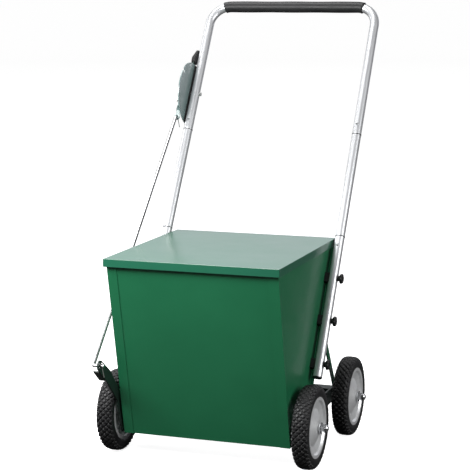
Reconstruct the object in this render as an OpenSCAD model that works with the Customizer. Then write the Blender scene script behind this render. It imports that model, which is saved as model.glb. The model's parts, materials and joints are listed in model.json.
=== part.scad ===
// Walk-behind drop spreader: a V-shaped sheet-steel hopper with a hinged lid,
// four tyred wheels, a tubular handle in three sections and a lever that
// opens the gate under the hopper through a rod.
// Millimetres. +Z up, ground at z = 0, front of the machine towards -Y.

/* [Hopper] */
// Outside width across the two side panels
hopper_width = 426; // [380:1:460]
// Height of the hopper rim above the ground
rim_height = 505; // [480:1:540]
// Height of the hopper panels' lower edge above the ground
floor_height = 58; // [54:1:64]
// How far the front panel leans back from rim to floor
front_lean = 100; // [80:1:104]
// Sheet thickness of hopper and lid
sheet = 1.5; // [1:0.1:2]
// Width of the side panels' flange folded over the front
front_flange = 24; // [16:1:30]
// Drop of the lid's turned-down lip
lid_lip = 19; // [14:1:24]
// Lid overhang beyond the front panel
lid_front = 8; // [5:1:12]

/* [Handle] */
// Lean of the handle tubes from upright
handle_angle = 32; // [31:0.5:33]
// Outside diameter of the handle tubes
tube_d = 24; // [22:0.5:25]
// Wall of the handle tubes
tube_wall = 1.6; // [1.2:0.1:2]
// Spacing of the two tubes, centre to centre
tube_spacing = 470; // [468:1:472]
// Length of each lower tube up to its joint
lower_tube = 375; // [370:1:380]
// Length of each middle tube between the joints
middle_tube = 290; // [285:1:295]
// Length from the upper joint to the middle of the crossbar
upper_tube = 387; // [380:1:395]
// Centreline radius of the two handle bends
bend_r = 55; // [50:1:60]
// Outside diameter of the foam grip
grip_d = 31; // [29:0.5:34]

/* [Wheels] */
// Tyre diameter
wheel_d = 203.2; // [202:0.1:204]
// Tyre width
tyre_width = 44; // [40:1:46]
// Diameter of the steel wheel disc
disc_d = 147.6; // [140:0.2:152]
// Track of the front wheels, tyre centre to tyre centre
front_track = 497; // [495:1:502]
// Track of the rear wheels
rear_track = 520; // [516:1:526]
// Distance between front and rear axles
wheelbase = 312; // [305:1:318]
// Axle diameter
axle_d = 16; // [15:0.5:17]

/* [Gate and lever] */
// Diameter of the control rod
rod_d = 8; // [7:0.5:8]
// Radial room of the rod's hook in the arm
hook_play = 3; // [2.8:0.1:3.6]
// Width of the long discharge slot in the floor
slot_width = 30; // [24:1:34]
// Length of the long discharge slot in the floor
slot_length = 380; // [300:5:385]

/* [Hidden] */
$fn = 96;
gap = 0.1;                       // room between parts that touch
run = 0.07;                      // running clearance, radial
hw = hopper_width / 2;
zr = rim_height;
zf = floor_height;
lug_r = 13;                      // eye of the gate arm
bar_s = lower_tube + middle_tube + upper_tube;   // crossbar along the tube line
ca = cos(handle_angle);
sa = sin(handle_angle);
ta = tan(handle_angle);
// Centre of the bounding box in Y: the arm's eye in front, the grip behind
yc = ((-32 - lug_r) + (249.3 + bar_s * sa + grip_d / 2)) / 2;
axle_y = 143.3 - yc;             // front axle
axle_z = wheel_d / 2;
rear_y = axle_y + wheelbase;
tube_y0 = 249.3 - yc;            // lower end of the handle tubes
tube_z0 = 197.3;
tube_x = tube_spacing / 2;
tr = tube_d / 2;
rear_off = 27;                   // rear panel behind the tube centreline
fk = front_lean / (rim_height - floor_height);
function yf(z) = (zr - z) * fk - 3.4 - yc;       // front panel, outer face
function yr(z) = tube_y0 + (z - tube_z0) * ta + rear_off;  // back of the side panels
fl = atan(fk);                   // lean of the front panel
joint1 = lower_tube;
joint2 = lower_tube + middle_tube;
knob_s = [34, 148, 262];         // knobs along the tube line
button_s = [joint1 - 26, joint2 + 27];
floor_z = zf + 18;               // hopper floor, above the panels' lower edges
gy = 107.6 - yc;                 // gate shaft
gz = floor_z - 8;
gate_r = 5;
ey = -32 - yc;                   // hook of the rod in the gate arm
ez = 255;
rod_x = -236;                    // rod beside the arm
quad_s = 775;                    // lever pivot along the tube line
quad_r = 86;
vy = tube_y0 + quad_s * sa;      // lever pivot
vz = tube_z0 + quad_s * ca;
ny = 608 - yc;                   // pin from the lever to the rod link
nz = 843.5;
ky = 592 - yc;                   // lower eye of the link
kz = 797;
link_x = -261.5;                 // middle plane of the link's upper eye
bar_y = [-22, 32];               // side bar bolts, before and behind the front axle
quad_x = -(tube_x + tr + 3.2);   // inner face of the quadrant plate
arm_x = -222.2;                  // outer face of the gate arm

green = [0.10, 0.38, 0.24];
dark = [0.03, 0.12, 0.08];
zinc = [0.78, 0.79, 0.80];
silver = [0.80, 0.81, 0.83];
black = [0.04, 0.04, 0.045];
rubber = [0.06, 0.06, 0.065];
grey_green = [0.42, 0.52, 0.49];

// ---------- helpers ----------

// a plate standing in the YZ plane from x0 to x0 + t, drawn as [y, z]
module yz(x0, t) translate([x0, 0, 0]) rotate([90, 0, 90]) linear_extrude(t) children();

// a cylinder along +X from x0
module xcyl(r, x0, len) translate([x0, 0, 0]) rotate([0, 90, 0]) cylinder(r = r, h = len);

// a tube along +X from x0
module xtube(ro, ri, x0, len) difference() {
  xcyl(ro, x0, len);
  xcyl(ri, x0 - 1, len + 2);
}

// the sloping frame of the handle: Z runs up the tubes, -Y is their front
module handle_frame(s = 0) translate([0, tube_y0 + s * sa, tube_z0 + s * ca])
  rotate([-handle_angle, 0, 0]) children();
module on_tube(side, s) handle_frame(s) translate([side * tube_x, 0, 0]) children();

module at_front_axle() translate([0, axle_y, axle_z]) children();
module at_rear_axle() translate([0, rear_y, axle_z]) children();
module at_gate() translate([0, gy, gz]) children();
// children drawn for the right side (+X), put on one side or on both
module on_side(side) mirror([side < 0 ? 1 : 0, 0, 0]) children();
module both() for (side = [-1, 1]) on_side(side) children();
module hexx(af, x0, len) translate([x0, 0, 0]) rotate([0, 90, 0]) cylinder(r = af / sqrt(3), h = len, $fn = 6);

// ---------- hopper ----------

// a sheet t thick on the front panel's plane, w wide from x0, off behind its outer face
module front_sheet(x0, w, t, off) {
  a = off / cos(fl);
  b = (off + t) / cos(fl);
  yz(x0, w) polygon([[yf(zr) + a, zr], [yf(zr) + b, zr], [yf(zf) + b, zf], [yf(zf) + a, zf]]);
}

// the same on the rear plane, off behind the side panels' back edge, from z0 up to z1
module rear_sheet(x0, w, t, off, z0 = zf, z1 = zr) {
  a = off / ca;
  b = (off + t) / ca;
  yz(x0, w) polygon([[yr(z1) + a, z1], [yr(z1) + b, z1], [yr(z0) + b, z0], [yr(z0) + a, z0]]);
}

module hopper_front() color(green)
  front_sheet(-hw + sheet + gap, hopper_width - 2 * sheet - 2 * gap, sheet, gap);

// the outward flanges stop above the side bars and below the lid's lip
wing_z0 = 125;
wing_z1 = zr + 4 - lid_lip - 1.5;
module hopper_rear() color(green) union() {
  rear_sheet(-hw, hopper_width, sheet, sheet + gap);
  rear_sheet(-hw - 8, hopper_width + 16, sheet, sheet + gap, wing_z0, wing_z1);
}

module side_outline() {
  a = sheet / cos(fl);
  b = sheet / 2 / ca;
  polygon([[yf(zr) - a, zr], [yr(zr) + b, zr], [yr(zf) + b, zf], [yf(zf) - a, zf]]);
}

module hopper_side(side) color(green) on_side(side) difference() {
  union() {
    yz(hw - sheet, sheet) side_outline();
    // flange folded over the front panel
    front_sheet(hw - front_flange, front_flange, sheet, -sheet);
    // flange folded outwards at the back
    rear_sheet(hw - sheet, 8 + sheet, sheet, 0, wing_z0, wing_z1);
  }
  at_front_axle() xcyl(axle_d / 2 + 3 + gap, hw - 10, 20);
  at_gate() xcyl(gate_r + 2 + gap, hw - 10, 20);
  for (s = knob_s) handle_frame(s) xcyl(3.3, hw - 10, 20);
  for (y = bar_y) translate([0, axle_y + y, axle_z]) xcyl(3.3, hw - 10, 20);
}
module hopper_side_left() hopper_side(-1);
module hopper_side_right() hopper_side(1);

floor_y0 = yf(floor_z) + 3;
floor_y1 = yr(floor_z) - 1;
floor_w = hopper_width - 2 * sheet - 2 * gap;
module hopper_floor() color(green) difference() {
  translate([-floor_w / 2, floor_y0, floor_z]) cube([floor_w, floor_y1 - floor_y0, sheet + 0.5]);
  translate([-slot_length / 2, (floor_y0 + floor_y1) / 2 - slot_width / 2, floor_z - 1])
    cube([slot_length, slot_width, 5]);
}

// ---------- lid and its hinges ----------

lid_hw = hw + 5;
lid_y0 = yf(zr) - lid_front;
lid_y1 = yr(zr) + 5;
lid_z = zr + 4;
hinge_y = lid_y1 + 6;
hinge_z = zr - 8;
hinge_x = [-150, 150];

module lid() color(grey_green) difference() {
  translate([-lid_hw, lid_y0, lid_z - lid_lip]) cube([2 * lid_hw, lid_y1 - lid_y0, lid_lip]);
  translate([-lid_hw + sheet, lid_y0 + sheet, lid_z - lid_lip - 1])
    cube([2 * lid_hw - 2 * sheet, lid_y1 - lid_y0 - sheet + 1, lid_lip + 1 - sheet]);
}

module lid_hinge_leaves() color(zinc) for (x = hinge_x) difference() {
  union() {
    translate([0, hinge_y, hinge_z]) xcyl(4.5, x - 8, 16);
    translate([x - 8, hinge_y + 2.4, hinge_z]) cube([16, 2.1, lid_z - sheet - gap - hinge_z]);
    translate([x - 8, hinge_y - 32, lid_z - sheet - gap - 2]) cube([16, 36.5, 2]);
  }
  translate([0, hinge_y, hinge_z]) xcyl(2.5 + run, x - 10, 20);
}

module hopper_hinge_leaves() color(zinc) for (x = hinge_x) union() {
  for (k = [x - 24.4, x + 8.4]) difference() {
    union() {
      translate([0, hinge_y, hinge_z]) xcyl(4.5, k, 16);
      translate([k, yr(hinge_z), hinge_z - 4.5]) cube([16, hinge_y - yr(hinge_z), 2.2]);
    }
    translate([0, hinge_y, hinge_z]) xcyl(2.5 + run, k - 1, 18);
    rear_sheet(k - 1, 18, 30, -30 + 2 * sheet + 2 * gap, zr - 60, zr + 20);
  }
  // leaf riveted to the back of the hopper
  difference() {
    rear_sheet(x - 24.4, 48.8, 2, 2 * sheet + 2 * gap, zr - 34);
    translate([x - 30, hinge_y - 60, hinge_z - 2.5]) cube([60, 100, 30]);
  }
}

module lid_hinge_pins() color(zinc) for (x = hinge_x) translate([0, hinge_y, hinge_z]) {
  xcyl(2.5, x - 26, 52);
  xcyl(3.6, x - 28, 2);
}

// ---------- handle ----------

module pipe(ro, ri, z0, len) translate([0, 0, z0]) difference() {
  cylinder(r = ro, h = len);
  translate([0, 0, -1]) cylinder(r = ri, h = len + 2);
}

// hole for a snap button, through the front wall of a tube
module button_hole() rotate([90, 0, 0]) cylinder(r = 3.5 + run, h = tr + 6);

module lower_tube_part(side) color(silver) on_tube(side, 0) difference() {
  pipe(tr, tr - tube_wall, 0, joint1);
  for (s = knob_s) translate([0, 0, s]) xcyl(3.3, -tr - 2, 2 * tr + 4);
  translate([0, 0, button_s[0]]) button_hole();
}
module lower_tube_left() lower_tube_part(-1);
module lower_tube_right() lower_tube_part(1);

spigot = 44;
sr = tr - tube_wall - gap;
module middle_tube_part(side) color(silver) on_tube(side, 0) difference() {
  union() {
    pipe(tr, sr - 1.5, joint1 + gap, middle_tube - 2 * gap);
    pipe(sr, sr - 1.5, joint1 - spigot, middle_tube + 2 * spigot);
  }
  for (s = button_s) translate([0, 0, s]) button_hole();
}
module middle_tube_left() middle_tube_part(-1);
module middle_tube_right() middle_tube_part(1);

// a bent pipe in the handle's plane around the corner of the right side
module bend(ro, ri, a0, a) translate([tube_x - bend_r, 0, bar_s - bend_r]) rotate([90, 0, 0])
  rotate([0, 0, a0]) rotate_extrude(angle = a) translate([bend_r, 0]) difference() {
    circle(ro);
    circle(ri);
  }

module upper_handle() color(silver) handle_frame() difference() {
  union() {
    both() translate([tube_x, 0, 0]) pipe(tr, tr - tube_wall, joint2, bar_s - bend_r - joint2);
    both() bend(tr, tr - tube_wall, 0, 90);
    translate([0, 0, bar_s]) xtube(tr, tr - tube_wall, -tube_x + bend_r, 2 * (tube_x - bend_r));
  }
  both() translate([tube_x, 0, button_s[1]]) button_hole();
  translate([0, 0, quad_s]) xcyl(3.3, -tube_x - tr - 2, 2 * tr + 4);
  for (s = [-60, 60]) translate([0, 0, quad_s + s]) xcyl(3.3, -tube_x - tr - 2, tr);
}

grip_arc = 21;
module grip() color(black) handle_frame() difference() {
  union() {
    both() bend(grip_d / 2, tr + gap, 0, 90);
    translate([0, 0, bar_s]) xtube(grip_d / 2, tr + gap, -tube_x + bend_r, 2 * (tube_x - bend_r));
  }
  // the foam ends part of the way round each bend
  both() translate([tube_x - bend_r, -30, bar_s - bend_r]) rotate([0, grip_arc - 90, 0])
    translate([0, 0, -100]) cube([100, 60, 100]);
}

module tube_plugs() color(black) both() on_tube(1, 0) {
  translate([0, 0, -2]) cylinder(r = tr - 0.4, h = 2 - gap);
  translate([0, 0, -gap - 0.5]) pipe(tr - tube_wall - gap, tr - tube_wall - 2.4, 0, 14);
}

module button(side, s) color(zinc) on_tube(side, s) rotate([90, 0, 0]) {
  translate([0, 0, 4.5]) cylinder(r = 4.2, h = 2);
  translate([0, 0, 6]) cylinder(r = 3.5, h = tr - 4.5);
  translate([0, 0, tr + 1.5]) cylinder(r1 = 3.5, r2 = 2.4, h = 1.4);
}
module button_lower_left() button(-1, button_s[0]);
module button_lower_right() button(1, button_s[0]);
module button_upper_left() button(-1, button_s[1]);
module button_upper_right() button(1, button_s[1]);

// saddle blocks between the hopper's sides and the lower tubes
module tube_spacers() color(black) both() for (s = knob_s) handle_frame(s) difference() {
  translate([hw + gap, -8, -12]) cube([tube_x - hw - gap - 7, 16, 24]);
  translate([tube_x, 0, -30]) cylinder(r = tr + gap, h = 60);
  xcyl(3.3, hw - 5, 60);
}

// coach bolts from inside the hopper out to the knobs
knob_x = tube_x + tr + 0.3;
module tube_bolts() color(zinc) both() for (s = knob_s) handle_frame(s) {
  xcyl(3, hw - sheet - 2, knob_x + 10 - hw + sheet + 2);
  xcyl(7.5, hw - sheet - gap - 2.5, 2.5);
}

module knob(side, s) color(black) on_side(side) handle_frame(s) difference() {
  union() {
    xcyl(7, knob_x, 6);
    translate([knob_x + 5, 0, 0]) rotate([0, 90, 0]) linear_extrude(8) {
      circle(r = 10.5);
      for (a = [0:60:300]) rotate(a) translate([9.8, 0]) circle(r = 3.3);
    }
  }
  xcyl(3 + run, knob_x - 1, 11.6);
}
module knob_left_1() knob(-1, knob_s[0]);
module knob_left_2() knob(-1, knob_s[1]);
module knob_left_3() knob(-1, knob_s[2]);
module knob_right_1() knob(1, knob_s[0]);
module knob_right_2() knob(1, knob_s[1]);
module knob_right_3() knob(1, knob_s[2]);

// ---------- lever on the left tube ----------

quad_t = 2.5;
// half-moon plate: flat edge along the tube, stop notches in the rim
module quadrant() color(grey_green) handle_frame(quad_s) difference() {
  translate([quad_x - quad_t, 0, 0]) rotate([90, 0, 90]) linear_extrude(quad_t) difference() {
    circle(r = quad_r);
    translate([8, -200]) square([200, 400]);
    // notch for the dose stop
    translate([-quad_r * sin(65), quad_r * cos(65)]) rotate(65) square([9, 24], center = true);
  }
  xcyl(4 + run, quad_x - 10, 20);
  for (s = [-60, 60]) translate([0, 0, s]) xcyl(3.3, quad_x - 10, 20);
}

module quadrant_strip() color(black) handle_frame(quad_s) difference() {
  translate([-tube_x - tr - 3.1, -9, -quad_r + 2]) cube([3, 17, 2 * quad_r - 4]);
  xcyl(4 + run, quad_x - 10, 30);
  for (s = [-60, 60]) translate([0, 0, s]) xcyl(3.3, quad_x - 10, 30);
}

lever_t = 3.5;
lever_x = quad_x - quad_t - 1 - lever_t;         // outer face of the lever
// two screws hold the plate on the left tube, the bolt between them is the pivot
module quadrant_bolts() color(zinc) handle_frame(quad_s) {
  for (s = [-60, 60]) translate([0, 0, s]) {
    xcyl(3, quad_x - quad_t - gap, quad_t + 9.5);
    xcyl(5.4, quad_x - quad_t - gap - 0.5, 0.5);
  }
  xcyl(4, lever_x - 6, -lever_x + 6 - tube_x - tr - gap);
  xcyl(3, lever_x - 6, -lever_x + 6 - tube_x + tr + 4);
  hexx(12, lever_x - 6.4, 5.6);
  hexx(10, -tube_x + tr + gap, 4.5);
}

// seen from the side: bar up to the grip, short arm forward to the link
module lever_outline() difference() {
  union() {
    hull() {
      circle(r = 13, $fn = 32);
      translate([48, 86]) circle(r = 8, $fn = 32);
    }
    hull() {
      circle(r = 13, $fn = 32);
      translate([ny - vy, nz - vz]) circle(r = 9, $fn = 32);
    }
    hull() {
      translate([48, 86]) circle(r = 8, $fn = 32);
      translate([63, 99]) circle(r = 6, $fn = 32);
    }
  }
}
module lever() color(dark) translate([0, vy, vz]) difference() {
  translate([lever_x, 0, 0]) rotate([90, 0, 90]) linear_extrude(lever_t) lever_outline();
  xcyl(4 + run, lever_x - 5, 20);
  translate([0, ny - vy, nz - vz]) xcyl(4 + run, lever_x - 5, 20);
}

// moulded wedge: wide and thick at its root, narrow at its tip
module lever_grip() color(black) translate([0, vy, vz]) difference() {
  intersection() {
    translate([lever_x + lever_t / 2 - 7.2, 0, 0]) rotate([90, 0, 90]) linear_extrude(13.4) hull() {
      translate([52, 90]) circle(r = 13, $fn = 32);
      translate([76, 111]) circle(r = 5, $fn = 32);
    }
    translate([lever_x + lever_t / 2, 100, 0]) rotate([90, 0, 0]) linear_extrude(100)
      polygon([[-6.2, 74], [5.6, 74], [5.6, 84], [3.2, 118], [-3.2, 118], [-6.2, 84]]);
  }
  translate([lever_x - gap, 0, 0]) rotate([90, 0, 90]) linear_extrude(lever_t + 2 * gap)
    offset(delta = 0.15) lever_outline();
}

// ---------- link and control rod ----------

link_len = sqrt(pow(ny - ky, 2) + pow(nz - kz, 2));
link_a = atan2(ny - ky, nz - kz);
link_mid = 16;
module link_frame() translate([link_x, ny, nz]) rotate([-link_a, 0, 0]) children();
module link() color(grey_green) link_frame() {
  // upper eye, flat against the lever
  difference() {
    union() {
      xcyl(8, -1.5, 3);
      translate([-1.5, -5, -17]) cube([3, 10, 14]);
    }
    xcyl(4 + run, -5, 10);
  }
  // strap with a quarter twist
  translate([0, 0, -17]) mirror([0, 0, 1]) linear_extrude(height = link_mid, twist = 90, slices = 10, $fn = 8)
    square([3, 10], center = true);
  // lower eye, turned across
  difference() {
    union() {
      translate([-5, -1.5, -link_len]) cube([10, 3, link_len - 17 - link_mid]);
      translate([-1.4, 1.5, -link_len]) rotate([90, 0, 0]) cylinder(r = 8, h = 3);
    }
    translate([-1.4, 5, -link_len]) rotate([90, 0, 0]) cylinder(r = rod_d / 2 + 0.9, h = 10);
  }
}

// pin of the lever's front arm: collar, then the link, a washer and the nut
module link_bolt() color(zinc) translate([0, ny, nz]) {
  xcyl(4, link_x - 6.5, lever_x + lever_t - link_x + 6.5);
  xcyl(6, link_x + 1.5 + gap, lever_x - link_x - 1.5 - 2 * gap);
  xcyl(6.5, link_x - 3 - gap, 1.5);
  hexx(11, link_x - 6.5, 3.5);
}

// round bar between two points
module bar(a, b, r) {
  d = b - a;
  translate(a) rotate([0, acos(d[2] / norm(d)), atan2(d[1], d[0])]) cylinder(r = r, h = norm(d));
}
rod_r = rod_d / 2;
rod_top = [link_x - 1.4, ky - 9, kz];
rod_low = [rod_x, ey, ez];
module control_rod() color(zinc) difference() {
  union() {
    bar(rod_top, rod_low, rod_r);
    // forged corners, a little thicker than the bar
    for (p = [rod_top, rod_low]) translate(p) sphere(r = rod_r + 0.3);
    bar(rod_top, rod_top + [0, 22, 0], rod_r);
    bar(rod_low, rod_low + [27, 0, 0], rod_r);
  }
  translate(rod_top + [0, 17, -8]) cylinder(r = 1.2, h = 16);
  translate(rod_low + [22, 0, -8]) cylinder(r = 1.2, h = 16);
}

module rod_cotters() color(zinc) for (p = [rod_top + [0, 17, 0], rod_low + [22, 0, 0]]) {
  translate(p + [0, 0, -7]) cylinder(r = 1.1, h = 13);
  translate(p + [0, 0, 6]) sphere(r = 2.2);
  bar(p + [0, 0, -6], p + [2, 6, -29], 1.1);
}

// ---------- gate under the floor ----------

gate_w = hopper_width - 2 * sheet - 6;
module gate() color(dark) {
  // flap below the floor and its curl around the shaft
  difference() {
    union() {
      translate([-gate_w / 2, gy, floor_z - 3.2]) cube([gate_w, floor_y1 - gy - 12, 2.6]);
      at_gate() xcyl(gate_r + 2.4, -gate_w / 2, gate_w);
    }
    at_gate() xcyl(gate_r - 1, -gate_w / 2 - 1, gate_w + 2);
  }
  // shaft out to the arm
  at_gate() xcyl(gate_r, arm_x - 2, hw + 8 - arm_x + 2);
}

function arm_p(y, z) = [y - yc, z];
module gate_arm() color(dark) difference() {
  union() {
    yz(arm_x, 4) {
      hull() {
        translate([ey, ez]) circle(r = lug_r, $fn = 32);
        translate(arm_p(18, 217)) circle(r = 15, $fn = 32);
      }
      hull() {
        translate(arm_p(18, 217)) circle(r = 15, $fn = 32);
        translate(arm_p(80, 150)) circle(r = 12, $fn = 32);
      }
      hull() {
        translate(arm_p(80, 150)) circle(r = 12, $fn = 32);
        translate([gy, gz]) circle(r = 11, $fn = 32);
      }
    }
    // stiffening flange folded outwards along the lower edge
    translate([arm_x - 13.9, ey - 4, ez - lug_r - 2]) rotate([-40, 0, 0]) cube([14, 46, 3]);
  }
  at_gate() xcyl(gate_r + gap, arm_x - 5, 12);
  translate([0, ey, ez]) xcyl(rod_r + hook_play, arm_x - 5, 12);
}

// flanged bushes of the front axle and of the gate shaft, in the hopper's sides
module bushes() color(black) both() {
  at_front_axle() {
    xtube(axle_d / 2 + 3, axle_d / 2, hw - sheet - 2, sheet + 7);
    xtube(14, axle_d / 2, hw + 4 + 2 * gap, 2);
  }
  at_gate() {
    xtube(gate_r + 2, gate_r + run, hw - sheet - 0.4, sheet + 1.4);
    xtube(gate_r + 4.5, gate_r + run, hw + gap, 1.5);
  }
}

// ---------- axles, agitator and frame ----------

module front_axle() color(zinc) at_front_axle() {
  xcyl(axle_d / 2 - 0.07, -front_track / 2 - 25.9, front_track + 51.8);
  xcyl(5, -front_track / 2 - 38, front_track + 76);
}

module agitator() color(dark) at_front_axle() {
  xtube(axle_d / 2 + 3, axle_d / 2 + 0.05, -190, 380);
  for (i = [0:7]) translate([-175 + 50 * i, 0, 0]) for (a = [0, 180])
    rotate([a + 60 * i, 0, 0]) translate([0, 0, axle_d / 2 + 2]) cylinder(r = 3, h = 10);
}

beam = 38;
module rear_beam() color(dark) at_rear_axle() difference() {
  translate([-hw, -beam / 2, -beam / 2]) cube([2 * hw, beam, beam]);
  translate([-hw - 1, -beam / 2 + 2.5, -beam / 2 + 2.5]) cube([2 * hw + 2, beam - 5, beam - 5]);
}

module beam_caps() color(black) both() at_rear_axle() difference() {
  translate([hw - 14, -beam / 2 + 2.6, -beam / 2 + 2.6]) cube([14 - gap, beam - 5.2, beam - 5.2]);
  xcyl(axle_d / 2, hw - 20, 30);
  for (y = [-11, 11]) translate([0, y, 0]) xcyl(2.6, hw - 20, 30);
}

module rear_axle() color(zinc) at_rear_axle() {
  xcyl(axle_d / 2 - run, -rear_track / 2 - 25.9, rear_track + 51.8);
  xcyl(5, -rear_track / 2 - 38, rear_track + 76);
}

bar_t = 4;
brace_y = rear_y + 14;
brace_z = axle_z + 12;
module side_bars() color(dark) both() difference() {
  translate([hw + gap, axle_y - 38, axle_z - beam / 2]) cube([bar_t, wheelbase + 38 + beam / 2, beam]);
  at_front_axle() xcyl(axle_d / 2 + 3 + gap, hw - 5, 20);
  at_rear_axle() {
    xcyl(axle_d / 2, hw - 5, 20);
    for (y = [-11, 11]) translate([0, y, 0]) xcyl(2.6, hw - 20, 30);
  }
  for (y = bar_y) translate([0, axle_y + y, axle_z]) xcyl(3.3, hw - 10, 20);
  translate([0, brace_y, brace_z]) xcyl(3.3, hw - 10, 20);
}

// flat braces from the rear axle up to the back of the hopper
brace_top = 300;
brace_ty = yr(brace_top) + 8;
brace_a = atan2(brace_y - brace_ty, brace_top - brace_z);
brace_len = norm([brace_y - brace_ty, brace_top - brace_z]);
brace_x = hw + gap + bar_t + gap;
module braces() color(green) both() difference() {
  union() {
    difference() {
      translate([brace_x, brace_y, brace_z]) rotate([brace_a, 0, 0]) translate([0, -9, -12])
        cube([bar_t, 18, brace_len + 20]);
      // the bar ends inside the foot
      rear_sheet(brace_x - 1, 6, 40, -35.3, brace_top - 80, brace_top + 80);
    }
    // foot turned in behind the rear panel
    rear_sheet(brace_x - 32, 32 + bar_t, 3, 2 * sheet + 2 * gap, brace_top - 18, brace_top + 18);
  }
  translate([0, brace_y, brace_z]) xcyl(3.3, hw - 5, 20);
}

module frame_bolts() color(zinc) both() {
  for (y = bar_y) translate([0, axle_y + y, axle_z]) {
    xcyl(3.1, hw - sheet - 4, sheet + bar_t + 6);
    hexx(10, hw - sheet - gap - 4, 4);
    xcyl(6, hw + gap + bar_t + gap, 2.4);
  }
  // rivets of the braces
  translate([0, brace_y, brace_z]) {
    xcyl(3.1, hw + 0.5, 2 * bar_t + 1.5);
    xcyl(6, brace_x + bar_t + gap, 2.2);
  }
}

// ---------- wheels ----------

hr = axle_d / 2;
rr = disc_d / 2;
R = wheel_d / 2;
tw = tyre_width / 2;
// profile along the radius and the axle, turned about the X axis
module turned() rotate([0, 90, 0]) rotate_extrude() children();

module tyre() color(rubber) turned() polygon([
  [rr - 7.7, -tw + 6.7], [rr - 6.7, -tw + 4.9], [rr + 0.1, -tw + 4.9], [rr + 0.4, -tw + 2.4], [rr + 4, -tw + 0.6],
  [rr + 12, -tw], [R - 9, -tw + 1], [R - 3.4, -tw + 4], [R, -tw + 8],
  [R, tw - 8], [R - 3.4, tw - 4], [R - 9, tw - 1], [rr + 12, tw],
  [rr + 4, tw - 0.6], [rr + 0.4, tw - 2.4], [rr + 0.1, tw - 4.9], [rr - 6.7, tw - 4.9],
  [rr - 7.7, tw - 6.7]]);

module rim(clear) color(zinc) {
  turned() polygon([
    [hr + 2.9, 22], [19, 22], [46, 10], [62, 14.5], [66, 19.4], [rr, 19.4], [rr, 17.2],
    [rr - 7, 17.2], [rr - 7.8, 15.5], [rr - 7.8, -15.5], [rr - 7, -17.2], [rr, -17.2], [rr, -19.4],
    [rr - 8.8, -19.4], [rr - 9.8, -18], [rr - 9.8, 12.4], [46, 7.8], [18.6, 20], [hr + 2.9, 20]]);
  turned() difference() {
    translate([hr + clear, -24]) square([3 - clear, 50]);
  }
}
module wheel_at(side, track, y) translate([side * track / 2, y, axle_z]) on_side(side) children();
module tyre_front_left() wheel_at(-1, front_track, axle_y) tyre();
module tyre_front_right() wheel_at(1, front_track, axle_y) tyre();
module tyre_rear_left() wheel_at(-1, rear_track, rear_y) tyre();
module tyre_rear_right() wheel_at(1, rear_track, rear_y) tyre();
module rim_front_left() wheel_at(-1, front_track, axle_y) rim(0);
module rim_front_right() wheel_at(1, front_track, axle_y) rim(0);
module rim_rear_left() wheel_at(-1, rear_track, rear_y) rim(0);
module rim_rear_right() wheel_at(1, rear_track, rear_y) rim(0);

// washer and domed nut on a threaded axle end
module cap_nut(track) {
  xtube(14, 5.15, track / 2 + 26.1, 1.8);
  difference() {
    union() {
      hexx(19, track / 2 + 28, 10);
      turned() translate([0, track / 2 + 28]) polygon([[0, 0], [8.8, 0], [8.8, 12.4],
        for (a = [0:10:90]) [8.6 * cos(a), 12.4 + 5.6 * sin(a)]]);
    }
    xcyl(5.1, track / 2 + 26, 13);
  }
}
module front_nuts() color(silver) both() at_front_axle() cap_nut(front_track);
module rear_nuts() color(silver) both() at_rear_axle() cap_nut(rear_track);

hopper_front();
hopper_rear();
hopper_side_left();
hopper_side_right();
hopper_floor();
lid();
lid_hinge_leaves();
hopper_hinge_leaves();
lid_hinge_pins();
lower_tube_left();
lower_tube_right();
middle_tube_left();
middle_tube_right();
upper_handle();
grip();
tube_plugs();
button_lower_left();
button_lower_right();
button_upper_left();
button_upper_right();
tube_spacers();
tube_bolts();
knob_left_1();
knob_left_2();
knob_left_3();
knob_right_1();
knob_right_2();
knob_right_3();
quadrant();
quadrant_strip();
quadrant_bolts();
lever();
lever_grip();
link();
link_bolt();
control_rod();
rod_cotters();
gate();
gate_arm();
bushes();
front_axle();
agitator();
rear_beam();
rear_axle();
beam_caps();
side_bars();
braces();
frame_bolts();
tyre_front_left();
tyre_front_right();
tyre_rear_left();
tyre_rear_right();
rim_front_left();
rim_front_right();
rim_rear_left();
rim_rear_right();
front_nuts();
rear_nuts();
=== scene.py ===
# %% [markdown]
# A garden spreader, finished in Blender.
# The steel frame, hopper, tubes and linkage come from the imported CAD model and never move.
# What CAD draws plainly is made again here: tyres with a cut tread, a foam grip, lobed knobs, a
# moulded lever grip and folded sheet metal with soft edges. Every other node gets its own finish.

import json
import math

import bmesh
import bpy
import numpy as np
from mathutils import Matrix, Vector


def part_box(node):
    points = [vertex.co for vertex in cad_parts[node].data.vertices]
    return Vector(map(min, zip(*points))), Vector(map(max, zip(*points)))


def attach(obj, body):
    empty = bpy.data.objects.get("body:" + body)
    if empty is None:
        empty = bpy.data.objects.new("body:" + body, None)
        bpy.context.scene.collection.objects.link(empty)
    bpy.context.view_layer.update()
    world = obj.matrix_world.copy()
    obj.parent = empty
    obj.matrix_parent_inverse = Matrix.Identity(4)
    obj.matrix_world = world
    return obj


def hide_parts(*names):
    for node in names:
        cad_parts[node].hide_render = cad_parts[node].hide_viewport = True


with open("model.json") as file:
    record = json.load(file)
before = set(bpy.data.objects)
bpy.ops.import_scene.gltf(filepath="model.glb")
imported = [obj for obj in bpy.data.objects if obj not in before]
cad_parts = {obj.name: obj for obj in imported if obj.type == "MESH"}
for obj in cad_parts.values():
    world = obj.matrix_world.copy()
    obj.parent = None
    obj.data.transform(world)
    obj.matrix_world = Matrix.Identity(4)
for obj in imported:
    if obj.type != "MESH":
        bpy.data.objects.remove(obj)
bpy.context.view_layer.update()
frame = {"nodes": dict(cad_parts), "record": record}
NODES = frame["nodes"]
RECORD = frame["record"]
SLOT_OF = {part["node"]: part["material_slot"] for part in RECORD["subparts"]}
BODY_OF = {name: body for body, names in RECORD["behaviour"]["bodies"].items() for name in names}

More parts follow.
